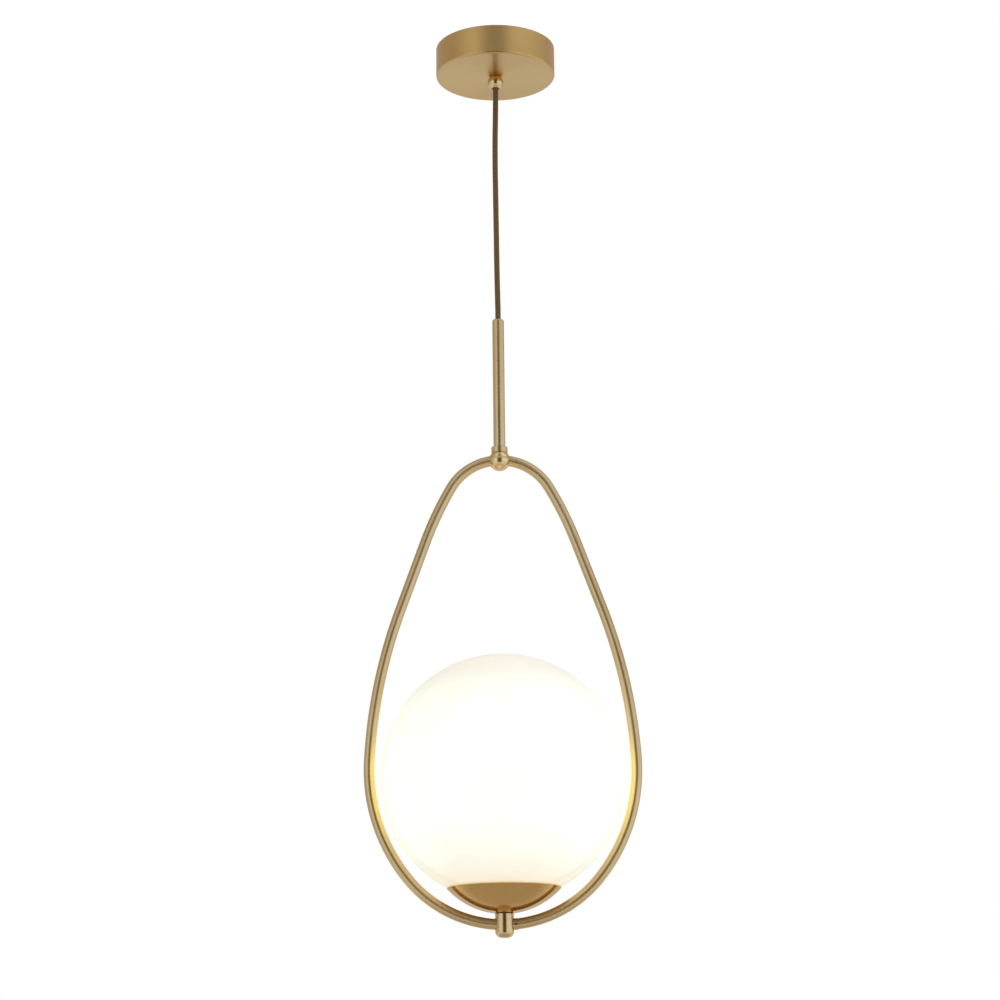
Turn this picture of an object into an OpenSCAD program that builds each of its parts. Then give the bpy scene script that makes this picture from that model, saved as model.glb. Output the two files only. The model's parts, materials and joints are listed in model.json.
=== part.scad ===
// Pendant ceiling light: an opal glass globe stands in a brass dish inside an egg-shaped tube hoop,
// which hangs from a round ceiling canopy by a fabric cord and a short stem.
// Millimetres. The origin is the centre of the face that meets the ceiling, +Z is up, the front faces -Y.

/* [Canopy] */
// Outer diameter of the ceiling canopy
canopy_d = 129; // [125:1:150]
// Height of the canopy
canopy_h = 32; // [32:1:36]
// Wall thickness of the canopy
canopy_wall = 1.2; // [1:0.1:2]
// Diameter of the ball on the cord grip
grip_ball_d = 17; // [16.6:0.1:18]

/* [Stem] */
// Diameter of the stem tube
stem_d = 12.5; // [12:0.5:13]
// Length of the stem tube
stem_len = 141; // [100:1:200]
// Diameter of the collar under the stem
collar_d = 17.2; // [16.6:0.1:18]
// Height of the collar under the stem
collar_h = 6.5; // [6:0.5:12]
// Diameter of the ball that joins the hoop to the stem
joint_ball_d = 22.4; // [21:0.2:24]

/* [Hoop] */
// Diameter of the hoop tube
hoop_tube_d = 11; // [10.6:0.1:11.4]
// Wall thickness of the hoop tube
hoop_wall = 1; // [0.8:0.1:1.2]

/* [Globe and dish] */
// Outer diameter of the glass globe
globe_d = 250; // [240:1:252]
// Thickness of the glass
glass_wall = 3; // [2.5:0.1:4]
// Height of the globe's centre above the tube at the bottom of the hoop
globe_rise = 148.5; // [146:0.5:152]
// Diameter of the dish at its rim
dish_d = 115.4; // [112:0.2:120]
// Radius of the dish's round bowl
dish_bowl_r = 78; // [76:1:80]
// Thickness of the dish
dish_wall = 1.2; // [1:0.1:1.5]
// Diameter of the post under the dish
post_d = 19; // [18:0.5:20]

/* [Hidden] */
$fn = 72;

// Colours
brass = [0.72, 0.58, 0.36];
polished_brass = [0.80, 0.66, 0.38];
steel = [0.72, 0.73, 0.75];
nylon = [0.93, 0.93, 0.90];
dark_fabric = [0.35, 0.27, 0.15];
opal = [0.98, 0.97, 0.93];
black_rubber = [0.12, 0.12, 0.12];

// Gap round a screw or tube that is fixed in its hole
fit_gap = 0.05;
// Gap between curved faces that move past each other
move_gap = 0.3;
// Overshoot that keeps a cut clear of the face that it starts from
over = 1;
// Welds between lengths of tube: half length, how far they stand proud, and the gap that they bridge
weld_half = 0.3;
weld_proud = 0.02;
weld_trim = 0.05;

// The cord hangs from inside the grip, bows a little and goes down into the top of the stem.
cord_d = 6;
cord_sides = 12;
cord_route = [
    [0, 0, -44], [0, 0, -52], [-0.2, 0, -64], [-0.5, 0, -80], [-0.9, 0, -96], [-1.2, 0, -112],
    [-1.3, 0, -128], [-1.3, 0, -144], [-1.2, 0, -160], [-1.1, 0, -176], [-1.0, 0, -192], [-0.9, 0, -208],
    [-0.8, 0, -224], [-0.7, 0, -240], [-0.6, 0, -256], [-0.4, 0, -272], [-0.2, 0, -286], [0, 0, -300],
    [0, 0, -313]
];
// The cord's three cores, from the top of the nipple over the edge of the bracket to their terminals
core_d = 2;
core_sides = 8;
live_route = [
    [0.5, -1.5, -9], [0.5, -1.5, -8], [0.5, -2, -6.5], [1.5, -5.5, -4.5], [5, -10, -5], [9, -13, -9],
    [12, -14, -15], [13, -13, -20], [13, -10.5, -22], [13, -5, -22]
];
neutral_route = [
    [1.5, 0.5, -9], [1.5, 0.5, -8], [1.5, 0.5, -6.5], [4, -2, -3.5], [9, -8, -3], [15, -12.5, -6],
    [19.5, -14, -13], [21, -13, -20], [21, -10.5, -22], [21, -5, -22]
];
earth_route = [
    [-1.5, 0, -9], [-1.5, 0, -8], [-1.5, -0.5, -6.5], [-3, -4, -4.5], [-6, -10, -5], [-10, -13.5, -9],
    [-12.5, -14, -14], [-13, -12, -17], [-13, -9.5, -17.5], [-13, -7, -17.5]
];
function end_of(route) = route[len(route) - 1];

// Hollow threaded nipples, M10, and the hexagon nuts on them
nipple_r = 5;
nipple_bore_r = 3.5;
nut_flats = 14;
nut_h = 3.5;

// Bracket: a strap whose bridge hangs below its two slotted feet
strap_w = 20;
strap_t = 2;
bridge_half = 30;
foot_end = 54;
foot_corner = 4;
bridge_top = -14;
bridge_bottom = bridge_top - strap_t;
slot_x = 42;
slot_len = 12;
slot_r = 2.25;
cable_hole_x = -22;
cable_hole_r = 4.5;
nipple_top = -9.5;

// Terminal block under the bridge, and the earth tag beside the nuts
pole_x = [end_of(live_route)[0], end_of(neutral_route)[0]];
pole_z = end_of(live_route)[2];
pole_screw_y = 4;
block_size = [16, 16, 12];
block_x = (pole_x[0] + pole_x[1]) / 2;
block_bottom = bridge_bottom - block_size[2];
block_screw_r = 1.5;
insert_r = 1.5;
insert_bore_r = 1.1;
earth_x = end_of(earth_route)[0];
earth_z = end_of(earth_route)[2];
tag_t = 0.8;
earth_screw_r = 2;

// Cord grip: the cord's rounded end turns in a socket inside the ball, on a nylon bush
pivot_z = cord_route[0][2];
grip_ball_r = grip_ball_d / 2;
grip_ball_z = pivot_z + 6;
grip_nipple_end = -37;
grip_screw_z = -34.5;
grip_screw_r = 1.5;
bush_out_r = 4.4;
bush_in_r = 3.4;
bush_hole_r = 2.2;
socket_r = bush_out_r + 0.1;
tail_bottom = pivot_z + bush_out_r + move_gap;
tail_top = live_route[0][2];

// Stem, collar and joint ball
stem_r = stem_d / 2;
stem_in_r = 5;
stem_lip = 3;
stem_edge_r = 2.7;
stem_top = end_of(cord_route)[2] + stem_lip;
stem_bottom = stem_top - stem_len;
bush_len = 12;
collar_bottom = stem_bottom - collar_h;
joint_r = joint_ball_d / 2;
joint_flat_r = 8;
joint_z = collar_bottom - sqrt(joint_r * joint_r - joint_flat_r * joint_flat_r);
stem_nipple_end = joint_z + 4.4;

// Hoop centreline: the right half from bottom to top as bends of one radius each. A bend runs until its
// outward normal reaches the angle given, from -90 at the bottom to 90 at the top. A straight length
// joins the third bend to the fourth, as long as it takes to bring the last bend onto the axis.
bend_r = [124, 176, 536, 368, 59];
bend_end = [-40, 3, 20, 30, 90];
straight_after = 2;
hoop_r = hoop_tube_d / 2;
hoop_in_r = hoop_r - hoop_wall;
hoop_end_x = 5.5;
lead_r = 2.2;
lead_bend_r = 6;

function normal(a) = [cos(a), 0, sin(a)];
function along(a) = [-sin(a), 0, cos(a)];
// How far bend i's centre lies from the one before, leaving out the straight
function step(i) = (bend_r[i - 1] - bend_r[i]) * normal(bend_end[i - 1]);
straight_len = (step(1)[0] + step(2)[0] + step(3)[0] + step(4)[0]) / sin(bend_end[straight_after]);
straight_run = straight_len * along(bend_end[straight_after]);
function loose_centre(i) = i == 0 ? [0, 0, 0]
    : loose_centre(i - 1) + step(i) + (i == straight_after + 1 ? straight_run : [0, 0, 0]);
last = len(bend_r) - 1;
hoop_drop = joint_z - loose_centre(last)[2] - bend_r[last];
function centre(i) = loose_centre(i) + [0, 0, hoop_drop];
hoop_bottom = centre(0)[2] - bend_r[0];

// Globe, dish and the pieces between them
globe_r = globe_d / 2;
globe_z = hoop_bottom + globe_rise;
globe_hole_r = 38;
dish_r = dish_d / 2;
dish_in_r = dish_bowl_r - dish_wall;
rim_in_r = dish_r - 1.7;
rim_z = globe_z - sqrt(pow(globe_r + 0.4, 2) - rim_in_r * rim_in_r);
bowl_z = rim_z + sqrt(dish_bowl_r * dish_bowl_r - dish_r * dish_r);
function bowl_floor(r) = bowl_z - sqrt(pow(dish_in_r - fit_gap, 2) - r * r);
pan_t = 1.2;
pan_floor_r = 29.5;
pan_floor_z = bowl_floor(pan_floor_r);
pan_shelf_r = 44.4;
pan_shelf_z = bowl_floor(pan_shelf_r);
pan_collar_r = globe_hole_r - 0.8;
pan_collar_top = pan_shelf_z + 5.4;
seal_in_r = globe_hole_r + 0.4;
seal_out_r = 44;
spring_w = 8;
spring_t = 0.5;

// Post under the dish
post_r = post_d / 2;
post_bottom = hoop_bottom - 13;
post_edge_r = 6.5;
post_seat_r = 6.5;
post_top = bowl_z - sqrt(pow(dish_bowl_r, 2) - pow(post_seat_r, 2));
post_top_edge_r = 0.6;
post_nipple_end = hoop_bottom + 6.2;

// Lampholder and bulb, for a small Edison screw cap, 14 mm
holder_z = pan_floor_z + pan_t + nut_h + 0.5;
holder_r = 14;
holder_wall = 1.7;
holder_base_h = 13.8;
disc_z = holder_z + holder_base_h;
disc_t = 5;
shell_top = disc_z + 29;
lamp_nipple_top = holder_z + 6.8;
contact_top = disc_z + disc_t + 1.8;
bulb_z = contact_top + 0.1;
bulb_contact_r = 2.4;
bulb_contact_h = 1.5;
cap_r = 6.75;
cap_wall = 0.4;
cap_z = bulb_z + 4;
cap_top = cap_z + 16.5;
dome_r = 22.5;
dome_z = bulb_z + 55.5;
dome_cut = dome_z - 9.2;

// ---------- shared shapes ----------

// A round bar about Z, or a tube where r_in is given
module bar(r_out, z_low, z_high, r_in = 0) {
    translate([0, 0, z_low])
        difference() {
            cylinder(r = r_out, h = z_high - z_low);
            if (r_in > 0)
                translate([0, 0, -over]) cylinder(r = r_in, h = z_high - z_low + 2 * over);
        }
}

// A hexagon nut on the nipple thread
module nut(z_low) {
    difference() {
        translate([0, 0, z_low]) cylinder(d = nut_flats / cos(30), h = nut_h, $fn = 6);
        bar(nipple_r + fit_gap, z_low - over, z_low + nut_h + over);
    }
}

// What a square corner at [r, z] loses when it is rounded; up is 1 for a top edge and -1 for a bottom one
module corner_cut(r, z, edge_r, up) {
    difference() {
        translate([r - edge_r, up > 0 ? z - edge_r : z - over]) square([edge_r + over, edge_r + over]);
        translate([r - edge_r, z - up * edge_r]) circle(r = edge_r);
    }
}

// A tube along the centreline bend from angle a to angle b
module bend(middle, radius, a, b, r_out, r_in = 0) {
    translate(middle)
        rotate([90, 0, 0])
            rotate([0, 0, a])
                rotate_extrude(angle = b - a)
                    translate([radius, 0])
                        difference() {
                            circle(r = r_out);
                            if (r_in > 0) circle(r = r_in);
                        }
}

// A bend that stops short of both its ends, where a weld joins it to its neighbours
module short_bend(middle, radius, a, b, r_out, r_in = 0) {
    trim = asin(weld_trim / radius);
    bend(middle, radius, a + trim, b - trim, r_out, r_in);
}

// The weld between two lengths of tube: a sleeve a hair proud of both, across a route at normal angle a
module weld(place, a, r_out, r_in = 0) {
    translate(place)
        rotate([0, -a, 0])
            bar(r_out + weld_proud, -weld_half, weld_half, r_in > 0 ? r_in - weld_proud : 0);
}

// The right half of the hoop's route, from angle low on the first bend to angle high on the last
module hoop_route(low, high, r_out, r_in = 0) {
    start = centre(straight_after) + bend_r[straight_after] * normal(bend_end[straight_after]);
    for (i = [0:last]) {
        from = i == 0 ? low : bend_end[i - 1];
        to = i == last ? high : bend_end[i];
        short_bend(centre(i), bend_r[i], from, to, r_out, r_in);
        if (i < last)
            weld(centre(i) + bend_r[i] * normal(to), to, r_out, r_in);
    }
    translate(start)
        rotate([0, -bend_end[straight_after], 0])
            bar(r_out, weld_trim, straight_len - weld_trim, r_in);
    weld(start + straight_run, bend_end[straight_after], r_out, r_in);
}

module hoop_half() {
    hoop_route(-acos(hoop_end_x / bend_r[0]), acos(hoop_end_x / bend_r[last]), hoop_r, hoop_in_r);
}

// Clear way through the joint ball or the post for the hoop's two ends
module hoop_bore(i, middle_angle, reach) {
    spread = asin(reach / bend_r[i]);
    bend(centre(i), bend_r[i], middle_angle - spread, middle_angle + spread, hoop_r + fit_gap);
}

function unit(v) = v / norm(v);
function heading(p, i) = unit(p[min(i + 1, len(p) - 1)] - p[max(i - 1, 0)]);
function square_to(v, d) = unit(v - (v * d) * d);
// A side vector at each point, turned as little as the route allows
function side_vectors(p, first) = [
    for (i = 0, v = square_to(first, heading(p, 0)); i < len(p);
         i = i + 1, v = square_to(v, heading(p, min(i, len(p) - 1)))) v
];

// A flexible round tube swept along a route, with a radius for each point
module swept(p, radii, sides) {
    n = len(p);
    v = side_vectors(p, [1, 0, 0]);
    rings = [
        for (i = [0:n - 1], k = [0:sides - 1])
            let (a = 360 * k / sides)
            p[i] + radii[i] * (cos(a) * v[i] + sin(a) * cross(heading(p, i), v[i]))
    ];
    walls = [
        for (i = [0:n - 2], k = [0:sides - 1], half = [0, 1])
            let (a = i * sides + k, b = i * sides + (k + 1) % sides)
            half == 0 ? [a, b, b + sides] : [a, b + sides, a + sides]
    ];
    first_cap = [for (k = [sides - 1:-1:0]) k];
    last_cap = [for (k = [0:sides - 1]) (n - 1) * sides + k];
    outward = concat([first_cap], walls, [last_cap]);
    polyhedron(points = rings, faces = [for (f = outward) [for (k = [len(f) - 1:-1:0]) f[k]]]);
}

module core(route) {
    swept(route, [for (q = route) core_d / 2], core_sides);
}

// ---------- ceiling fixing ----------

module ceiling_bracket() {
    color(steel)
        difference() {
            union() {
                translate([-bridge_half, -strap_w / 2, bridge_bottom])
                    cube([2 * bridge_half, strap_w, strap_t]);
                for (side = [-1, 1])
                    scale([side, 1, 1]) {
                        translate([bridge_half - strap_t, -strap_w / 2, bridge_bottom])
                            cube([strap_t, strap_w, -bridge_bottom]);
                        translate([0, 0, -strap_t])
                            linear_extrude(strap_t)
                                polygon([
                                    [bridge_half - strap_t, -strap_w / 2],
                                    [foot_end - foot_corner, -strap_w / 2],
                                    [foot_end, foot_corner - strap_w / 2],
                                    [foot_end, strap_w / 2 - foot_corner],
                                    [foot_end - foot_corner, strap_w / 2],
                                    [bridge_half - strap_t, strap_w / 2]
                                ]);
                    }
            }
            for (side = [-1, 1])
                translate([side * slot_x, 0, 0]) {
                    for (end = [-1, 1])
                        translate([end * (slot_len / 2 - slot_r), 0, 0]) bar(slot_r, -strap_t - over, over);
                    translate([slot_r - slot_len / 2, -slot_r, -strap_t - over])
                        cube([slot_len - 2 * slot_r, 2 * slot_r, strap_t + 2 * over]);
                }
            bar(nipple_r + fit_gap, bridge_bottom - over, bridge_top + over);
            translate([cable_hole_x, 0, 0]) bar(cable_hole_r, bridge_bottom - over, bridge_top + over);
            translate([block_x, 0, 0])
                bar(block_screw_r + fit_gap, bridge_bottom - over, bridge_top + over);
            translate([earth_x, 0, 0])
                bar(earth_screw_r + fit_gap, bridge_bottom - over, bridge_top + over);
        }
}

module canopy() {
    r = canopy_d / 2;
    edge_r = 2;
    color(brass)
        rotate_extrude()
            difference() {
                translate([nipple_r + 0.1, -canopy_h]) square([r - nipple_r - 0.1, canopy_h]);
                corner_cut(r, -canopy_h, edge_r, -1);
                difference() {
                    translate([0, canopy_wall - canopy_h]) square([r - canopy_wall, canopy_h]);
                    corner_cut(r - canopy_wall, canopy_wall - canopy_h, edge_r - canopy_wall, -1);
                }
            }
}

module canopy_nipple() {
    color(steel) bar(nipple_r, grip_nipple_end, nipple_top, nipple_bore_r);
}

module lock_nuts() {
    color(steel) {
        nut(bridge_top);
        nut(bridge_bottom - nut_h);
    }
}

module cord_grip() {
    color(polished_brass)
        difference() {
            translate([0, 0, grip_ball_z]) sphere(r = grip_ball_r);
            translate([0, 0, -canopy_h]) cylinder(r = 2 * grip_ball_r, h = grip_ball_r);
            bar(nipple_r + fit_gap, grip_nipple_end, over - canopy_h);
            bar(cord_d / 2 + fit_gap, pivot_z, grip_nipple_end + over);
            translate([0, 0, pivot_z]) sphere(r = socket_r);
            translate([0, nipple_r - over, grip_screw_z])
                rotate([-90, 0, 0]) cylinder(r = grip_screw_r + fit_gap, h = grip_ball_r);
        }
}

module grip_screw() {
    hex_key = 1.5;
    color(steel)
        translate([0, nipple_r + fit_gap, grip_screw_z])
            rotate([-90, 0, 0])
                difference() {
                    cylinder(r = grip_screw_r, h = 2.2);
                    translate([0, 0, 1]) cylinder(d = hex_key / cos(30), h = 2 + over, $fn = 6);
                }
}

module grip_bush() {
    color(nylon)
        translate([0, 0, pivot_z])
            difference() {
                sphere(r = bush_out_r);
                sphere(r = bush_in_r);
                translate([0, 0, -2 * bush_out_r]) cylinder(r = 2 * bush_out_r, h = 2 * bush_out_r);
                cylinder(r = bush_hole_r, h = 2 * bush_out_r);
            }
}

module terminal_block() {
    color(nylon)
        difference() {
            translate([block_x - block_size[0] / 2, -block_size[1] / 2, block_bottom]) cube(block_size);
            for (x = pole_x) {
                translate([x, -block_size[1] / 2 - over, pole_z])
                    rotate([-90, 0, 0]) cylinder(r = insert_r + fit_gap, h = block_size[1] + 2 * over);
                for (side = [-1, 1])
                    translate([x, side * pole_screw_y, 0])
                        bar(insert_r + fit_gap, block_bottom - over, pole_z);
            }
            translate([block_x, 0, 0]) {
                bar(block_screw_r + fit_gap, block_bottom - over, bridge_bottom + over);
                bar(block_screw_r * 2, block_bottom - over, block_bottom + 3);
            }
        }
}

module terminal_inserts() {
    len_y = block_size[1] - 2;
    color(polished_brass)
        for (x = pole_x)
            translate([x, -len_y / 2, pole_z])
                rotate([-90, 0, 0]) bar(insert_r, 0, len_y, insert_bore_r);
}

// A slotted screw with its head down, from z_low up to z_high
module slotted_screw(head_r, head_h, shank_r, z_low, z_high) {
    difference() {
        union() {
            bar(head_r, z_low, z_low + head_h);
            bar(shank_r, z_low + head_h / 2, z_high);
        }
        translate([-2 * head_r, -0.4, z_low - over]) cube([4 * head_r, 0.8, over + head_h / 3]);
    }
}

module terminal_screws() {
    head_r = insert_r - 0.1;
    shank_r = insert_r - 0.3;
    sunk = 0.6;
    color(steel)
        for (x = pole_x, side = [-1, 1])
            translate([x, side * pole_screw_y, 0])
                slotted_screw(head_r, 1.5, shank_r, block_bottom + sunk, pole_z - insert_r - fit_gap);
}

module block_screw() {
    color(steel)
        translate([block_x, 0, 0])
            slotted_screw(2.8, 2, block_screw_r, block_bottom + 1, bridge_top + 1);
}

// A ring under the earth screw with a neck to the barrel that is crimped on the earth core
module earth_tag() {
    ring_r = 3.6;
    neck = [2.8, 4.5, tag_t];
    neck_y = -7;
    barrel_r = 1.45;
    barrel_len = 4;
    barrel_y = -9.5;
    color(polished_brass)
        translate([earth_x, 0, 0])
            difference() {
                union() {
                    bar(ring_r, bridge_bottom - tag_t, bridge_bottom);
                    translate([-neck[0] / 2, neck_y, bridge_bottom - tag_t]) cube(neck);
                    translate([0, barrel_y, earth_z])
                        rotate([-90, 0, 0]) cylinder(r = barrel_r, h = barrel_len);
                }
                bar(earth_screw_r + fit_gap, bridge_bottom - 2 * tag_t, bridge_bottom + over);
                translate([0, barrel_y - over, earth_z])
                    rotate([-90, 0, 0]) cylinder(r = core_d / 2 + fit_gap, h = barrel_len);
            }
}

module earth_screw() {
    head_h = 2.4;
    color(polished_brass)
        translate([earth_x, 0, 0])
            slotted_screw(3.5, head_h, earth_screw_r, bridge_bottom - tag_t - head_h, bridge_top + 2);
}

// ---------- cord ----------

module cord_tail() {
    color(dark_fabric) bar(cord_d / 2, tail_bottom, tail_top);
}

module core_live() {
    color("saddlebrown") core(live_route);
}

module core_neutral() {
    color("royalblue") core(neutral_route);
}

module core_earth() {
    color("yellowgreen") core(earth_route);
}

// The top end is a half ball, so that the cord can lean any way in its bush.
module cord() {
    r = cord_d / 2;
    dome = [80, 55, 28];
    color(dark_fabric)
        swept(
            concat([for (a = dome) cord_route[0] + [0, 0, r * sin(a)]], cord_route),
            concat([for (a = dome) r * cos(a)], [for (q = cord_route) r]),
            cord_sides
        );
}

// ---------- stem and hoop ----------

module stem_tube() {
    color(brass)
        rotate_extrude()
            difference() {
                translate([0, stem_bottom]) square([stem_r, stem_len]);
                corner_cut(stem_r, stem_top, stem_edge_r, 1);
                translate([0, stem_bottom - over]) square([stem_in_r, stem_len - stem_lip + over]);
                translate([0, stem_bottom]) square([cord_d / 2 + 0.25, stem_len + over]);
            }
}

module stem_bush() {
    top = stem_top - stem_lip;
    color(nylon) bar(stem_in_r - fit_gap, top - bush_len, top, lead_r + fit_gap);
}

module stem_nipple() {
    color(steel) bar(stem_in_r - fit_gap, stem_nipple_end, stem_bottom + 14, nipple_bore_r);
}

module stem_collar() {
    r = collar_d / 2;
    chamfer = 0.5;
    color(brass)
        rotate_extrude()
            polygon([
                [nipple_r, collar_bottom], [r - chamfer, collar_bottom], [r, collar_bottom + chamfer],
                [r, stem_bottom - chamfer], [r - chamfer, stem_bottom], [nipple_r, stem_bottom]
            ]);
}

module joint_ball() {
    color(brass)
        difference() {
            translate([0, 0, joint_z]) sphere(r = joint_r);
            translate([0, 0, collar_bottom]) cylinder(r = joint_r, h = joint_r);
            bar(nipple_r, stem_nipple_end - 0.1, collar_bottom + over);
            bar(nipple_bore_r, joint_z, collar_bottom);
            hoop_bore(last, 90, joint_r + 2);
        }
}

module hoop_right() {
    color(brass) hoop_half();
}

module hoop_left() {
    color(brass) mirror([1, 0, 0]) hoop_half();
}

// A thin band round the hoop, against the right side of the post
module hoop_ferrule() {
    low = acos((post_r + 0.4) / bend_r[0]);
    high = acos((post_r + 3.6) / bend_r[0]);
    color(brass) bend(centre(0), bend_r[0], -low, -high, hoop_r + 0.4, hoop_r + fit_gap);
}

// The inner lead goes down the stem, along the right half of the hoop and up into the lampholder.
module inner_lead() {
    top_r = bend_r[last] + lead_bend_r;
    low_r = bend_r[0] - lead_bend_r;
    top_turn = acos(lead_bend_r / top_r);
    low_turn = acos(lead_bend_r / low_r);
    top_z = centre(last)[2] + top_r * sin(top_turn);
    low_z = centre(0)[2] - low_r * sin(low_turn);
    color(nylon) {
        bar(lead_r, top_z + weld_trim, stem_top - stem_lip);
        weld([0, 0, top_z], 0, lead_r);
        short_bend([lead_bend_r, 0, top_z], lead_bend_r, 180, 180 + top_turn, lead_r);
        weld(centre(last) + bend_r[last] * normal(top_turn), top_turn, lead_r);
        hoop_route(-low_turn, top_turn, lead_r);
        weld(centre(0) + bend_r[0] * normal(-low_turn), -low_turn, lead_r);
        short_bend([lead_bend_r, 0, low_z], lead_bend_r, 180, 360 - low_turn, lead_r);
        weld([0, 0, low_z], 0, lead_r);
        bar(lead_r, low_z + weld_trim, lamp_nipple_top + 2);
    }
}

// The dish rests on the flat top out to the seat radius, and stands clear of the rounded edge.
module bottom_post() {
    color(brass)
        difference() {
            rotate_extrude()
                difference() {
                    translate([0, post_bottom]) square([post_r, post_top - post_bottom]);
                    corner_cut(post_r, post_bottom, post_edge_r, -1);
                    corner_cut(post_r, post_top, post_top_edge_r, 1);
                }
            translate([0, 0, bowl_z]) sphere(r = dish_bowl_r);
            bar(nipple_r + fit_gap, post_nipple_end, post_top + over);
            bar(nipple_bore_r, hoop_bottom, post_nipple_end + over);
            hoop_bore(0, -90, post_r + 2);
        }
}

// ---------- dish and glass fixing ----------

module dish() {
    color(brass)
        rotate_extrude()
            intersection() {
                difference() {
                    translate([0, bowl_z]) circle(r = dish_bowl_r);
                    translate([0, bowl_z]) circle(r = dish_in_r);
                }
                translate([nipple_r + 0.1, rim_z - 2 * dish_r]) square([2 * dish_r, 2 * dish_r]);
            }
}

module lamp_nipple() {
    color(steel) bar(nipple_r, post_nipple_end, lamp_nipple_top, nipple_bore_r);
}

module gallery_pan() {
    color(steel)
        rotate_extrude()
            polygon([
                [nipple_r + 0.1, pan_floor_z],
                [pan_floor_r, pan_floor_z],
                [pan_collar_r, pan_shelf_z],
                [pan_shelf_r, pan_shelf_z],
                [pan_shelf_r, pan_shelf_z + pan_t],
                [pan_collar_r, pan_shelf_z + pan_t],
                [pan_collar_r, pan_collar_top],
                [pan_collar_r - pan_t, pan_collar_top],
                [pan_collar_r - pan_t, pan_shelf_z + pan_t * 2 / 3],
                [pan_floor_r - pan_t / 2, pan_floor_z + pan_t],
                [nipple_r + 0.1, pan_floor_z + pan_t]
            ]);
}

module gallery_nut() {
    color(steel) nut(pan_floor_z + pan_t);
}

// Three leaf springs inside the pan's collar, which bend out over the edge of the glass
module globe_springs() {
    root_r = sqrt(pow(pan_collar_r - pan_t - fit_gap, 2) - pow(spring_w / 2, 2));
    line = [
        [root_r, pan_collar_top - 2.2], [root_r, pan_collar_top + 0.6],
        [globe_hole_r + 1.2, pan_collar_top + 3], [root_r + 0.6, pan_collar_top + 8.5]
    ];
    color(steel)
        for (turn = [90, 210, 330])
            rotate([0, 0, turn])
                translate([0, spring_w / 2, 0])
                    rotate([90, 0, 0])
                        linear_extrude(spring_w)
                            polygon(concat(line, [for (k = [len(line) - 1:-1:0]) line[k] - [spring_t, 0]]));
}

module globe_seal() {
    function under_glass(r) = globe_z - sqrt(pow(globe_r + move_gap, 2) - r * r);
    seat = pan_shelf_z + pan_t;
    color(black_rubber)
        rotate_extrude()
            polygon([
                [seal_in_r, seat], [seal_out_r, seat],
                [seal_out_r, under_glass(seal_out_r)], [seal_in_r, under_glass(seal_in_r)]
            ]);
}

module globe() {
    color(opal)
        rotate_extrude()
            difference() {
                translate([0, globe_z]) circle(r = globe_r);
                translate([0, globe_z]) circle(r = globe_r - glass_wall);
                translate([-2 * globe_r, globe_z - 2 * globe_r]) square([2 * globe_r, 4 * globe_r]);
                translate([-over, globe_z - 2 * globe_r]) square([globe_hole_r + over, 2 * globe_r]);
            }
}

// ---------- lampholder and bulb ----------

module lampholder_base() {
    z = holder_z;
    top = z + holder_base_h;
    color(nylon)
        rotate_extrude()
            polygon([
                [nipple_r + fit_gap, z], [9, z], [holder_r, z + 6], [holder_r, top],
                [holder_r - holder_wall, top], [holder_r - holder_wall, z + 7], [8.5, z + 2],
                [7.2, z + 2], [7.2, z + 7], [nipple_r + fit_gap, z + 7]
            ]);
}

module lampholder_disc() {
    wire_hole_x = 9.5;
    wire_hole_r = 1.2;
    color(nylon)
        difference() {
            bar(holder_r - holder_wall - fit_gap, disc_z, disc_z + disc_t);
            for (side = [-1, 1])
                translate([side * wire_hole_x, 0, 0])
                    bar(wire_hole_r, disc_z - over, disc_z + disc_t + over);
        }
}

// A flat strip across the disc with a button in the middle, which the bulb's contact rests on
module holder_contact() {
    z = disc_z + disc_t;
    strip = [12, 4, 0.6];
    button_r = 1.8;
    color(polished_brass) {
        translate([-strip[0] / 2, -strip[1] / 2, z]) cube(strip);
        bar(button_r, z + strip[2] / 2, contact_top);
    }
}

module holder_sleeve() {
    z = disc_z + disc_t;
    sleeve_in_r = cap_r + 0.4;
    sleeve_len = 19;
    color(polished_brass) bar(sleeve_in_r + 0.7, z, z + sleeve_len, sleeve_in_r);
}

module lampholder_shell() {
    mouth_r = cap_r + 1.6;
    lip = 1.5;
    color(nylon)
        rotate_extrude()
            polygon([
                [holder_r - holder_wall, disc_z], [holder_r, disc_z],
                [holder_r, shell_top - 1], [holder_r - 1, shell_top],
                [mouth_r, shell_top], [mouth_r, shell_top - lip], [holder_r - holder_wall, shell_top - lip]
            ]);
}

module bulb_contact() {
    color(steel) bar(bulb_contact_r, bulb_z, bulb_z + bulb_contact_h);
}

module bulb_insulator() {
    low = bulb_z + bulb_contact_h;
    color(black_rubber)
        translate([0, 0, low]) cylinder(r1 = bulb_contact_r + 0.2, r2 = cap_r - cap_wall, h = cap_z - low);
}

module bulb_cap() {
    color(steel) bar(cap_r, cap_z, cap_top, cap_r - cap_wall);
}

module bulb_base() {
    r = cap_r - cap_wall - 0.1;
    color("white")
        rotate_extrude()
            polygon([
                [0, cap_z + 6], [r, cap_z + 6], [r, cap_top], [cap_r, cap_top], [cap_r + 0.6, cap_top + 5],
                [12, cap_top + 13], [17, cap_top + 20.5], [20.5, dome_cut], [0, dome_cut]
            ]);
}

module bulb_dome() {
    dome_wall = 0.8;
    color(opal)
        rotate_extrude()
            intersection() {
                difference() {
                    translate([0, dome_z]) circle(r = dome_r);
                    translate([0, dome_z]) circle(r = dome_r - dome_wall);
                }
                translate([0, dome_cut]) square([2 * dome_r, 2 * dome_r]);
            }
}

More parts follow.
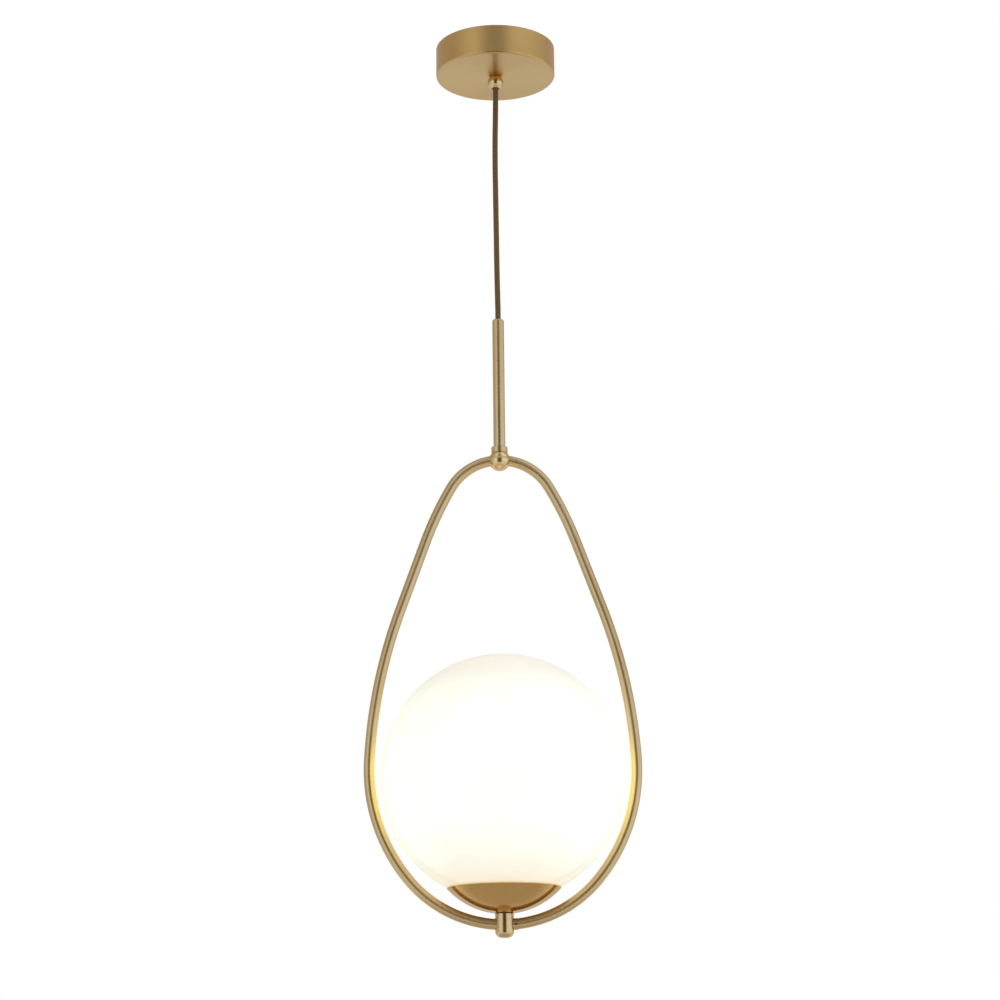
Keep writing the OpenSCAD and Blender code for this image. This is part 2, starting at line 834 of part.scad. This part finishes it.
ceiling_bracket();
canopy();
canopy_nipple();
lock_nuts();
cord_grip();
grip_screw();
grip_bush();
terminal_block();
terminal_inserts();
terminal_screws();
block_screw();
earth_tag();
earth_screw();
cord_tail();
core_live();
core_neutral();
core_earth();
cord();
stem_tube();
stem_bush();
stem_nipple();
stem_collar();
joint_ball();
hoop_left();
hoop_right();
hoop_ferrule();
inner_lead();
bottom_post();
dish();
lamp_nipple();
gallery_pan();
gallery_nut();
globe_springs();
globe_seal();
lampholder_base();
lampholder_disc();
holder_contact();
holder_sleeve();
lampholder_shell();
globe();
bulb_contact();
bulb_insulator();
bulb_cap();
bulb_base();
bulb_dome();
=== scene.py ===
import json
import math

import bpy
from mathutils import Matrix, Vector


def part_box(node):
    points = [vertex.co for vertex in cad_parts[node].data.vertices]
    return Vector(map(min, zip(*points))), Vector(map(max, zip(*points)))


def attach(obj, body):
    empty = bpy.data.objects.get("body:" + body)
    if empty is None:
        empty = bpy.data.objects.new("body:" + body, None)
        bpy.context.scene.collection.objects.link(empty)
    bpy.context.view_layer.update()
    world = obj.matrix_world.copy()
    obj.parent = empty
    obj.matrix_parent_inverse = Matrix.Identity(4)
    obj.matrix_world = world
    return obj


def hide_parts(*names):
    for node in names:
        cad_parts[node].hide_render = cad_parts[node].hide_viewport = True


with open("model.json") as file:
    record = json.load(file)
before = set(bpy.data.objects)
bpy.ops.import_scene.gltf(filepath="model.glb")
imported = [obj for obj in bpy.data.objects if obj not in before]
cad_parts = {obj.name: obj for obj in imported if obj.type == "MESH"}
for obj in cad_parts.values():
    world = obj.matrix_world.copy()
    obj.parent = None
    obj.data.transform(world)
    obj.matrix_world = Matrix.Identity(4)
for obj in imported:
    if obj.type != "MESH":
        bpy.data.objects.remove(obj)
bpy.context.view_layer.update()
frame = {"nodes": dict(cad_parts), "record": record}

# Pendant ceiling light. Metres, in the CAD model's own frame: the ceiling is at z = 0, +Z is up and the
# front faces -Y. The sections are camera, mesh tools, cord, hoop, materials and studio.


def top(node):
    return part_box(node)[1].z


def bottom(node):
    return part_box(node)[0].z


# ---------- camera ----------

CAMERA_PLACE = Vector((0, -2.514, -1.146))
CAMERA_PITCH = math.radians(14.24)
CAMERA_ROLL = math.radians(-0.62)
CAMERA_LENS = 89.4


def add_camera():
    data = bpy.data.cameras.new("camera")
    data.lens = CAMERA_LENS
    camera = bpy.data.objects.new("camera", data)
    bpy.context.scene.collection.objects.link(camera)
    turn = Matrix.Rotation(math.pi / 2 + CAMERA_PITCH, 4, "X") @ Matrix.Rotation(CAMERA_ROLL, 4, "Z")
    camera.matrix_world = Matrix.Translation(CAMERA_PLACE) @ turn
    bpy.context.scene.camera = camera


add_camera()


# ---------- mesh tools ----------

def mesh_object(name, points, faces, uvs=None):
    """A smooth mesh object. uvs holds one (u, v) pair for each corner of each face."""
    mesh = bpy.data.meshes.new(name)
    mesh.from_pydata(points, [], faces)
    if uvs:
        layer = mesh.uv_layers.new(name="UVMap")
        layer.data.foreach_set("uv", [x for face in uvs for uv in face for x in uv])
    mesh.polygons.foreach_set("use_smooth", [True] * len(faces))
    mesh.validate()
    mesh.update()
    piece = bpy.data.objects.new(name, mesh)
    bpy.context.scene.collection.objects.link(piece)
    return piece


def smooth_line(points, step):
    """A Catmull-Rom curve through the points, with a point about every step of its length."""
    ends = [points[0] * 2 - points[1], *points, points[-1] * 2 - points[-2]]
    line = []
    for a, b, c, d in zip(ends, ends[1:], ends[2:], ends[3:]):
        count = max(1, round((c - b).length / step))
        for i in range(count):
            t = i / count
            line.append(0.5 * (2 * b + t * (c - a) + t * t * (2 * a - 5 * b + 4 * c - d)
                               + t ** 3 * (3 * b - 3 * c + d - a)))
    return line + [points[-1]]


# Every swept line lies in the plane y = 0, so this points to the side all along it.
LINE_SIDE = Vector((0, 1, 0))


def upright_vectors(line):
    """At each point of a line, a vector at right angles to the line and to its side."""
    ups = []
    for i in range(len(line)):
        heading = (line[min(i + 1, len(line) - 1)] - line[max(i - 1, 0)]).normalized()
        ups.append(heading.cross(LINE_SIDE))
    return ups


def lengths_along(line):
    total = [0.0]
    for a, b in zip(line, line[1:]):
        total.append(total[-1] + (b - a).length)
    return total


def tube_points(line, around, radius):
    """Rings of points round a line. radius(u, v) gives the surface for a length u and a turn v, 0 to 1."""
    points = []
    for place, up, u in zip(line, upright_vectors(line), lengths_along(line)):
        for k in range(around):
            a = 2 * math.pi * k / around
            points.append(place + radius(u, k / around) * (math.cos(a) * LINE_SIDE + math.sin(a) * up))
    return points


def wall(lengths, around, start, inward):
    """The faces and uvs between the rings that begin at point start, seen from outside or from inside."""
    faces, uvs = [], []
    for i in range(len(lengths) - 1):
        for k in range(around):
            a = start + i * around + k
            b = start + i * around + (k + 1) % around
            quad = [a, b, b + around, a + around]
            low, high = k / around, (k + 1) / around
            uv = [(lengths[i], low), (lengths[i], high), (lengths[i + 1], high), (lengths[i + 1], low)]
            faces.append(quad[::-1] if inward else quad)
            uvs.append(uv[::-1] if inward else uv)
    return faces, uvs


def flat_caps(lengths, around):
    """A flat face over each end of a solid tube."""
    last = (len(lengths) - 1) * around
    faces = [list(range(around))[::-1], list(range(last, last + around))]
    return faces, [[(lengths[0], 0)] * around, [(lengths[-1], 0)] * around]


def pipe_ends(lengths, around):
    """The square ends of a pipe, whose inside rings follow its outside rings."""
    inside = len(lengths) * around
    last = inside - around
    faces, uvs = [], []
    for ring, u in ((0, lengths[0]), (last, lengths[-1])):
        for k in range(around):
            a, b = ring + k, ring + (k + 1) % around
            quad = [b, a, a + inside, b + inside]
            faces.append(quad[::-1] if ring == last else quad)
            uvs.append([(u, k / around)] * 4)
    return faces, uvs


def sweep(name, line, around, radius, inner_radius=None):
    """A tube along a line: a pipe with square ends if it has an inner radius, otherwise solid."""
    lengths = lengths_along(line)
    points = tube_points(line, around, radius)
    parts = [wall(lengths, around, 0, False)]
    if inner_radius:
        points += tube_points(line, around, lambda u, v: inner_radius)
        parts.append(wall(lengths, around, len(line) * around, True))
        parts.append(pipe_ends(lengths, around))
    else:
        parts.append(flat_caps(lengths, around))
    faces = [face for part in parts for face in part[0]]
    uvs = [uv for part in parts for uv in part[1]]
    return mesh_object(name, points, faces, uvs)


# ---------- cord ----------

# The route of the CAD cord, from inside the grip down into the stem
CORD_DIAMETER = 0.006
CORD_ROUTE = [
    (0, 0, -0.044), (0, 0, -0.052), (-0.0002, 0, -0.064), (-0.0005, 0, -0.080), (-0.0009, 0, -0.096),
    (-0.0012, 0, -0.112), (-0.0013, 0, -0.128), (-0.0013, 0, -0.144), (-0.0012, 0, -0.160),
    (-0.0011, 0, -0.176), (-0.0010, 0, -0.192), (-0.0009, 0, -0.208), (-0.0008, 0, -0.224),
    (-0.0007, 0, -0.240), (-0.0006, 0, -0.256), (-0.0004, 0, -0.272), (-0.0002, 0, -0.286),
    (0, 0, -0.300), (0, 0, -0.313)
]
# The braid: how many diamonds there are round the cord, how long each is, and how deep the yarns lie
BRAID_AROUND = 12
BRAID_LENGTH = 0.0017
BRAID_DEPTH = 0.00022
BRAID_STEPS = 5
# How square a yarn's crown is, from 1 for a sine downwards, and how much each yarn dips where it goes under
YARN_FLATNESS = 0.6
YARN_DIP = 0.4


def braid_radius(u, v):
    """The surface of a plain braid: two families of yarns that wind opposite ways, one over, one under."""
    a = v * BRAID_AROUND + u / BRAID_LENGTH
    b = v * BRAID_AROUND - u / BRAID_LENGTH
    over = (math.floor(a) + math.floor(b)) % 2 == 0
    across, onward = (a, b) if over else (b, a)
    crown = abs(math.sin(math.pi * across)) ** YARN_FLATNESS
    rise = 1 - YARN_DIP + YARN_DIP * abs(math.sin(math.pi * onward))
    return CORD_DIAMETER / 2 - BRAID_DEPTH * (1 - crown * rise)


def add_cord():
    line = smooth_line([Vector(p) for p in CORD_ROUTE], BRAID_LENGTH / BRAID_STEPS)
    cord = sweep("flex_braid", line, BRAID_AROUND * BRAID_STEPS, braid_radius)
    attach(cord, "cord_body")
    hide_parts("cord")
    return cord


cord = add_cord()


# ---------- hoop ----------

# The bends of the hoop's centreline, as in the CAD model: each bend's radius, and the angle that its
# outward normal reaches at its end. A straight length follows the third bend.
BEND_RADII = [0.124, 0.176, 0.536, 0.368, 0.059]
BEND_ENDS = [math.radians(a) for a in (-40, 3, 20, 30, 90)]
STRAIGHT_AFTER = 2
HOOP_RADIUS = 0.0055
HOOP_BORE = 0.0045
HOOP_END_X = 0.0055
HOOP_STEP = 0.0025
HOOP_SIDES = 40


def outward(angle):
    return Vector((math.cos(angle), 0, math.sin(angle)))


def arc(centre, radius, start, end):
    """Points along a bend, without its last one."""
    count = max(2, round(radius * (end - start) / HOOP_STEP))
    return [centre + radius * outward(start + (end - start) * k / count) for k in range(count)]


def straight_run(start, run):
    count = max(2, round(run.length / HOOP_STEP))
    return [start + run * k / count for k in range(count)]


def straight_after_bend():
    """The straight run that brings the top bend's centre back over the post."""
    last = len(BEND_RADII) - 1
    offset = sum((BEND_RADII[i] - BEND_RADII[i + 1]) * math.cos(BEND_ENDS[i]) for i in range(last))
    angle = BEND_ENDS[STRAIGHT_AFTER]
    return offset / math.sin(angle) * Vector((-math.sin(angle), 0, math.cos(angle)))


def hoop_line():
    """The right half's centreline, from its lower end to its upper end."""
    run = straight_after_bend()
    centre = Vector((0, 0, bottom("hoop_right") + HOOP_RADIUS + BEND_RADII[0]))
    start = -math.acos(HOOP_END_X / BEND_RADII[0])
    ends = BEND_ENDS[:-1] + [math.acos(HOOP_END_X / BEND_RADII[-1])]
    line = []
    for i, (radius, end) in enumerate(zip(BEND_RADII, ends)):
        line += arc(centre, radius, start, end)
        if i == STRAIGHT_AFTER:
            line += straight_run(centre + radius * outward(end), run)
            centre = centre + run
        if i + 1 < len(BEND_RADII):
            centre = centre + (radius - BEND_RADII[i + 1]) * outward(end)
        start = end
    return line + [centre + BEND_RADII[-1] * outward(ends[-1])]


def add_hoop(name, node, side):
    line = [Vector((side * p.x, 0, p.z)) for p in hoop_line()]
    tube = sweep(name, line, HOOP_SIDES, lambda u, v: HOOP_RADIUS, inner_radius=HOOP_BORE)
    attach(tube, "lamp")
    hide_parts(node)
    return tube


hoops = [add_hoop("hoop_tube_right", "hoop_right", 1), add_hoop("hoop_tube_left", "hoop_left", -1)]


# ---------- materials ----------

class Paint:
    """A procedural material on one Principled shader, with short calls for the nodes that feed it."""

    def __init__(self, name, **values):
        self.material = bpy.data.materials.new(name)
        self.material.use_nodes = True
        self.tree = self.material.node_tree
        self.shader = self.tree.nodes["Principled BSDF"]
        for socket, value in values.items():
            self.shader.inputs[socket.replace("_", " ")].default_value = value

    def node(self, kind, settings=None, **inputs):
        """Makes a node. An input is named, or given by its number as i0, i1 and so on."""
        made = self.tree.nodes.new("ShaderNode" + kind)
        for key, value in (settings or {}).items():
            setattr(made, key, value)
        for key, value in inputs.items():
            socket = made.inputs[int(key[1:])] if key[0] == "i" and key[1:].isdigit() else made.inputs[key]
            if isinstance(value, bpy.types.NodeSocket):
                self.tree.links.new(value, socket)
            else:
                socket.default_value = value
        return made.outputs

    def math(self, operation, a, b=0.0):
        return self.node("Math", {"operation": operation}, i0=a, i1=b)[0]

    def place(self):
        """The place in the frame, in metres."""
        return self.node("TexCoord")["Object"]

    def uv(self):
        return self.node("TexCoord")["UV"]

    def split(self, vector):
        return tuple(self.node("SeparateXYZ", Vector=vector))

    def noise(self, where, scale, detail=3.0, roughness=0.5):
        return self.node("TexNoise", Vector=where, Scale=scale, Detail=detail, Roughness=roughness)[0]

    def distance(self, x, y):
        return self.math("SQRT", self.math("ADD", self.math("MULTIPLY", x, x), self.math("MULTIPLY", y, y)))

    def turned_place(self):
        """Distance from the lamp's axis, and height: whatever follows these two runs round the axis."""
        x, y, z = self.split(self.place())
        return self.node("CombineXYZ", X=self.distance(x, y), Y=z)[0]

    def ramp(self, value, low, high, at_low, at_high):
        """A number or a colour that runs from one to the other as value goes from low to high."""
        if isinstance(at_low, tuple):
            share = self.node("MapRange", {"clamp": True}, Value=value, i1=low, i2=high)[0]
            return self.node("Mix", {"data_type": "RGBA"}, i0=share, i6=(*at_low, 1), i7=(*at_high, 1))[2]
        return self.node("MapRange", {"clamp": True}, Value=value, i1=low, i2=high, i3=at_low, i4=at_high)[0]

    def mix(self, share, a, b):
        return self.node("Mix", i0=share, i2=a, i3=b)[0]

    def bands(self, value, stops):
        """A smooth run of colours along value. stops holds (value, colour) pairs, from 0 to 1."""
        made = self.tree.nodes.new("ShaderNodeValToRGB")
        self.tree.links.new(value, made.inputs[0])
        marks = made.color_ramp.elements
        marks.remove(marks[1])
        marks[0].position = stops[0][0]
        marks[0].color = (*stops[0][1], 1)
        for place, colour in stops[1:]:
            marks.new(place).color = (*colour, 1)
        return made.outputs["Color"]

    def feed(self, socket, value):
        self.tree.links.new(value, self.shader.inputs[socket])

    def bump(self, height, depth, strength=1.0):
        self.feed("Normal", self.node("Bump", Height=height, Distance=depth, Strength=strength)[0])


# Most of a noise's values lie in this span.
NOISE_SPAN = (0.3, 0.7)

# The drawn tubes are a little paler than the canopy and the dish, which are spun from sheet.
DRAWN_BRASS = ((0.59, 0.418, 0.190), (0.66, 0.475, 0.228))
SPUN_BRASS = ((0.57, 0.350, 0.120), (0.63, 0.395, 0.144))
POLISHED_BRASS = ((0.64, 0.455, 0.205), (0.72, 0.520, 0.240))
# The tint that brass keeps where it is seen at a slant. The canopy's lacquer hides it.
BRASS_EDGE = (1.0, 0.86, 0.70)
WHITE = (1.0, 1.0, 1.0)

# Brushing: about how many fine and coarse lines there are to a metre, and how much of the coarse is mixed in
FINE_LINES = 2400
COARSE_LINES = 350
COARSE_SHARE = 0.6
LINE_DEPTH = 0.000001
TUBE_LINE_DEPTH = 0.0000004
# Smudges make the lacquer's colour uneven, and its roughness by this much either way.
SMUDGES = 18
SMUDGE_ROUGHNESS = 0.02
# On a tube the lines run round it, so its noise is squeezed along the turn.
TUBE_SQUEEZE = 0.0005
QUARTER_TURN = 0.25


def brass(name, tones, roughness, brushed, coat=0.5, edge=BRASS_EDGE, on_tube=False):
    """Lacquered brass, brushed round the lamp's axis, or round the tube on a bent tube."""
    paint = Paint(name, Metallic=1.0, Specular_Tint=(*edge, 1), Anisotropic=brushed, Coat_Weight=coat,
                  Coat_Roughness=0.1)
    if on_tube:
        lines_place = paint.node("Mapping", Vector=paint.uv(), Scale=(1, TUBE_SQUEEZE, 1))[0]
        paint.feed("Tangent", paint.node("Tangent", {"direction_type": "UV_MAP"})[0])
    else:
        lines_place = paint.turned_place()
        paint.feed("Tangent", paint.node("Tangent", {"direction_type": "RADIAL", "axis": "Z"})[0])
        paint.shader.inputs["Anisotropic Rotation"].default_value = QUARTER_TURN
    fine = paint.noise(lines_place, FINE_LINES, 2)
    coarse = paint.noise(lines_place, COARSE_LINES, 2)
    smudge = paint.noise(paint.place(), SMUDGES, 4)
    paint.feed("Base Color", paint.ramp(smudge, *NOISE_SPAN, *tones))
    rough = paint.ramp(fine, *NOISE_SPAN, roughness * 0.92, roughness * 1.08)
    worn = paint.ramp(smudge, 0.35, 0.65, -SMUDGE_ROUGHNESS, SMUDGE_ROUGHNESS)
    paint.feed("Roughness", paint.math("ADD", rough, worn))
    lines = paint.math("ADD", fine, paint.math("MULTIPLY", coarse, COARSE_SHARE))
    paint.bump(lines, TUBE_LINE_DEPTH if on_tube else LINE_DEPTH, 0.5)
    return paint.material


# The other materials: how many mottles, grains, threads or clouds there are to a metre, and how deep they lie
METAL_MOTTLES = 240
METAL_GRAINS = 1800
METAL_DEPTH = 0.00002
PLASTIC_TONES = 60
PLASTIC_GRAINS = 900
PLASTIC_DEPTH = 0.00003
YARN_TONES = 900
YARN_THREADS = 6500
YARN_DEPTH = 0.00006
OPAL_CLOUDS = 30


def metal(name, dark, light, roughness):
    """Plated or bare metal: mottled colour, a little uneven in gloss."""
    paint = Paint(name, Metallic=1.0)
    mottle = paint.noise(paint.place(), METAL_MOTTLES, 4, 0.6)
    grain = paint.noise(paint.place(), METAL_GRAINS, 2)
    paint.feed("Base Color", paint.ramp(mottle, *NOISE_SPAN, dark, light))
    paint.feed("Roughness", paint.ramp(grain, *NOISE_SPAN, roughness * 0.8, roughness * 1.2))
    paint.bump(grain, METAL_DEPTH, 0.4)
    return paint.material


def plastic(name, dark, light, roughness):
    """Moulded plastic, rubber or glazed ware: an even colour with a fine grain."""
    paint = Paint(name)
    tone = paint.noise(paint.place(), PLASTIC_TONES, 3)
    grain = paint.noise(paint.place(), PLASTIC_GRAINS, 3)
    paint.feed("Base Color", paint.ramp(tone, *NOISE_SPAN, dark, light))
    paint.feed("Roughness", paint.ramp(grain, *NOISE_SPAN, roughness * 0.85, roughness * 1.15))
    paint.bump(grain, PLASTIC_DEPTH, 0.5)
    return paint.material


def cord_fabric():
    """Olive brown yarn: its tone varies from place to place, and fine threads roughen it."""
    paint = Paint("cord_fabric", Sheen_Weight=0.35, Sheen_Roughness=0.45, Specular_IOR_Level=0.25)
    tone = paint.noise(paint.place(), YARN_TONES, 4, 0.6)
    thread = paint.noise(paint.place(), YARN_THREADS, 2)
    paint.feed("Base Color", paint.ramp(tone, 0.25, 0.75, (0.110, 0.056, 0.012), (0.240, 0.135, 0.034)))
    paint.feed("Roughness", paint.ramp(thread, *NOISE_SPAN, 0.62, 0.88))
    paint.bump(thread, YARN_DEPTH, 0.6)
    return paint.material


# The lit globe's glow, by height as a share of the globe's: dim and warm by the dish, brightest about the
# bulb, and a little dimmer and creamier towards the top
GLOW = [
    (0.00, (0.38, 0.28, 0.03)),
    (0.06, (0.40, 0.34, 0.18)),
    (0.13, (0.43, 0.42, 0.30)),
    (0.24, (0.62, 0.66, 0.39)),
    (0.36, (1.10, 1.12, 0.41)),
    (0.55, (1.10, 1.12, 0.41)),
    (0.68, (0.54, 0.56, 0.40)),
    (0.90, (0.42, 0.38, 0.25)),
    (1.00, (0.46, 0.40, 0.29)),
]


def opal_glass():
    """Opal glass lit from inside, under a clear skin."""
    paint = Paint("opal_glass", Roughness=0.3, Coat_Weight=0.3, Coat_Roughness=0.1, Emission_Strength=1.0)
    share = paint.ramp(paint.split(paint.place())[2], bottom("globe"), top("globe"), 0.0, 1.0)
    cloud = paint.noise(paint.place(), OPAL_CLOUDS, 2)
    paint.feed("Base Color", paint.ramp(cloud, *NOISE_SPAN, (0.88, 0.87, 0.83), (0.92, 0.91, 0.88)))
    paint.feed("Emission Color", paint.bands(share, GLOW))
    return paint.material


materials = {
    "satin_brass": brass("satin_brass", DRAWN_BRASS, 0.24, 0.5),
    "satin_brass_tube": brass("satin_brass_tube", DRAWN_BRASS, 0.37, 0.4, on_tube=True),
    "satin_brass_canopy": brass("satin_brass_canopy", SPUN_BRASS, 0.36, 0.45, coat=0.25, edge=WHITE),
    "satin_brass_dish": brass("satin_brass_dish", SPUN_BRASS, 0.13, 0.3, coat=0.1),
    "polished_brass": brass("polished_brass", POLISHED_BRASS, 0.24, 0.2),
    "contact_brass": metal("contact_brass", (0.60, 0.42, 0.17), (0.72, 0.52, 0.22), 0.3),
    "zinc_steel": metal("zinc_steel", (0.46, 0.47, 0.48), (0.62, 0.63, 0.64), 0.34),
    "spring_steel": metal("spring_steel", (0.36, 0.36, 0.38), (0.46, 0.46, 0.48), 0.28),
    "nickel": metal("nickel", (0.58, 0.56, 0.52), (0.70, 0.68, 0.64), 0.22),
    "white_nylon": plastic("white_nylon", (0.74, 0.73, 0.69), (0.82, 0.81, 0.77), 0.5),
    "lampholder_white": plastic("lampholder_white", (0.80, 0.80, 0.78), (0.86, 0.86, 0.84), 0.3),
    "cord_fabric": cord_fabric(),
    "core_brown": plastic("core_brown", (0.10, 0.040, 0.015), (0.15, 0.060, 0.022), 0.4),
    "core_blue": plastic("core_blue", (0.012, 0.06, 0.30), (0.020, 0.09, 0.40), 0.4),
    "core_green": plastic("core_green", (0.10, 0.30, 0.02), (0.55, 0.52, 0.03), 0.4),
    "seal_rubber": plastic("seal_rubber", (0.010, 0.010, 0.010), (0.022, 0.022, 0.022), 0.65),
    "opal_glass": opal_glass(),
    "black_glass": plastic("black_glass", (0.010, 0.010, 0.012), (0.020, 0.020, 0.022), 0.15),
    "bulb_white": plastic("bulb_white", (0.78, 0.78, 0.77), (0.84, 0.84, 0.83), 0.4),
    "bulb_diffuser": plastic("bulb_diffuser", (0.86, 0.86, 0.84), (0.90, 0.90, 0.88), 0.35),
}


# Nodes whose brass differs a little from the rest in their slot
OWN_FINISH = {
    "canopy": "satin_brass_canopy",
    "dish": "satin_brass_dish",
    "joint_ball": "polished_brass",
}


def dress(piece, material):
    piece.data.materials.clear()
    piece.data.materials.append(materials[material])


def dress_nodes():
    """Gives each CAD node its own finish, or the material of its slot in the record."""
    for part in frame["record"]["subparts"]:
        node = part["node"]
        dress(frame["nodes"][node], OWN_FINISH.get(node, part["material_slot"]))


dress_nodes()
dress(cord, "cord_fabric")
for hoop in hoops:
    dress(hoop, "satin_brass_tube")


# ---------- studio ----------

FLOOR_Z = -2.4
FLOOR_RADIUS = 3.0
FLOOR_SIDES = 96
# The floor's glow is painted light that stands in for studio light, and its faint part below the lamp is
# painted shade. It is faint below the lamp and strong at its edge: where that run starts and ends
FLOOR_PAINTED_LIGHT_REACH = (1.2, 2.9)
FLOOR_PAINTED_LIGHT = ((0.10, 0.085, 0.075), (0.62, 0.64, 0.65))
FLOOR_TONES = ((0.70, 0.66, 0.62), (0.74, 0.70, 0.66))


def floor_paint():
    paint = Paint("floor_paint", Roughness=0.8, Emission_Strength=1.0)
    x, y, z = paint.split(paint.place())
    tone = paint.noise(paint.place(), 1.5, 3)
    paint.feed("Base Color", paint.ramp(tone, *NOISE_SPAN, *FLOOR_TONES))
    # Painted light on the floor: its emission, dimmed below the lamp as painted shade
    paint.feed("Emission Color", paint.ramp(paint.distance(x, y), *FLOOR_PAINTED_LIGHT_REACH, *FLOOR_PAINTED_LIGHT))
    return paint.material


def add_floor():
    turns = [2 * math.pi * k / FLOOR_SIDES for k in range(FLOOR_SIDES)]
    rim = [(FLOOR_RADIUS * math.cos(a), FLOOR_RADIUS * math.sin(a), FLOOR_Z) for a in turns]
    floor = mesh_object("floor", rim, [list(range(FLOOR_SIDES))])
    floor.data.materials.append(floor_paint())


# The studio that shows in the metal is a pale tent. Levels run from 0, black, to 1, white, and anything above
# is white too. LOW is near the horizon, HIGH is above it and TOP is higher still. The back is dim, lamps
# stand on both sides, and at the front, where the camera stands, there is a gap between them that is dark
# but for a pale strip at HIGH.
BACK_LOW = 0.62
BACK_HIGH = 0.50
LAMPS_LOW = 1.15
LAMPS_HIGH = 0.39
LAMPS_TOP = 1.00
GAP_LOW = 0.04
GAP_HIGH = 0.85
GAP_TOP = 0.30
FAR_FLOOR = 0.76
# The sine of an elevation, where each run from one level to the next starts and ends
FLOOR_RISE = (-0.40, -0.15)
TENT_RISE = (0.28, 0.37)
GAP_RISE = (0.32, 0.40)
TOP_RISE = (0.47, 0.57)
# How far a direction is to the side (x) or to the front (-y), where the gap and the lamps start and end
GAP_SIDES = (0.25, 0.55)
GAP_BACK = (-0.10, 0.10)
LAMPS_BACK = (-0.10, 0.40)
# The lamp on the right reaches further back than the one on the left.
RIGHT_LAMP_REACH = 0.4
# Dark places in the tent are warm and bright ones are cool.
TENT_TONES = [
    (0.00, (0.000, 0.000, 0.000)),
    (0.13, (0.160, 0.107, 0.050)),
    (0.51, (0.510, 0.460, 0.430)),
    (0.80, (0.800, 0.925, 1.000)),
    (1.00, (1.000, 1.120, 1.350)),
]


class WorldPaint(Paint):
    """The studio's surroundings, made with the same calls as a material."""

    def __init__(self, name):
        world = bpy.data.worlds.new(name)
        world.use_nodes = True
        bpy.context.scene.world = world
        self.tree = world.node_tree
        self.shader = self.tree.nodes["Background"]


def tent_level(paint):
    """How bright the tent is in each direction, from 0 to 1."""
    x, y, z = paint.split(paint.node("TexCoord")["Generated"])
    flat = paint.distance(x, y)
    aside = paint.math("DIVIDE", x, flat)
    front = paint.math("DIVIDE", paint.math("MULTIPLY", y, -1.0), flat)
    high = paint.ramp(z, *TENT_RISE, 0.0, 1.0)
    highest = paint.ramp(z, *TOP_RISE, 0.0, 1.0)
    back = paint.mix(high, BACK_LOW, BACK_HIGH)
    lamps = paint.mix(highest, paint.mix(high, LAMPS_LOW, LAMPS_HIGH), LAMPS_TOP)
    gap = paint.mix(highest, paint.ramp(z, *GAP_RISE, GAP_LOW, GAP_HIGH), GAP_TOP)
    reach = paint.math("ADD", front, paint.math("MULTIPLY", aside, RIGHT_LAMP_REACH))
    sides = paint.mix(paint.ramp(reach, *LAMPS_BACK, 0.0, 1.0), back, lamps)
    around = paint.mix(paint.ramp(z, *FLOOR_RISE, 0.0, 1.0), FAR_FLOOR, sides)
    beside = paint.ramp(paint.math("ABSOLUTE", aside), *GAP_SIDES, 0.0, 1.0)
    behind = paint.ramp(front, *GAP_BACK, 1.0, 0.0)
    return paint.mix(paint.math("MAXIMUM", beside, behind), gap, around)


def add_world():
    """The tent for light and reflections, and plain white where the camera looks past the lamp."""
    paint = WorldPaint("studio")
    tones = paint.bands(tent_level(paint), TENT_TONES)
    seen = paint.node("LightPath")["Is Camera Ray"]
    paint.feed("Color", paint.node("Mix", {"data_type": "RGBA"}, i0=seen, i6=tones, i7=(1, 1, 1, 1))[2])
    paint.shader.inputs["Strength"].default_value = 1.0


add_floor()
add_world()
bpy.context.scene.view_settings.view_transform = "Standard"
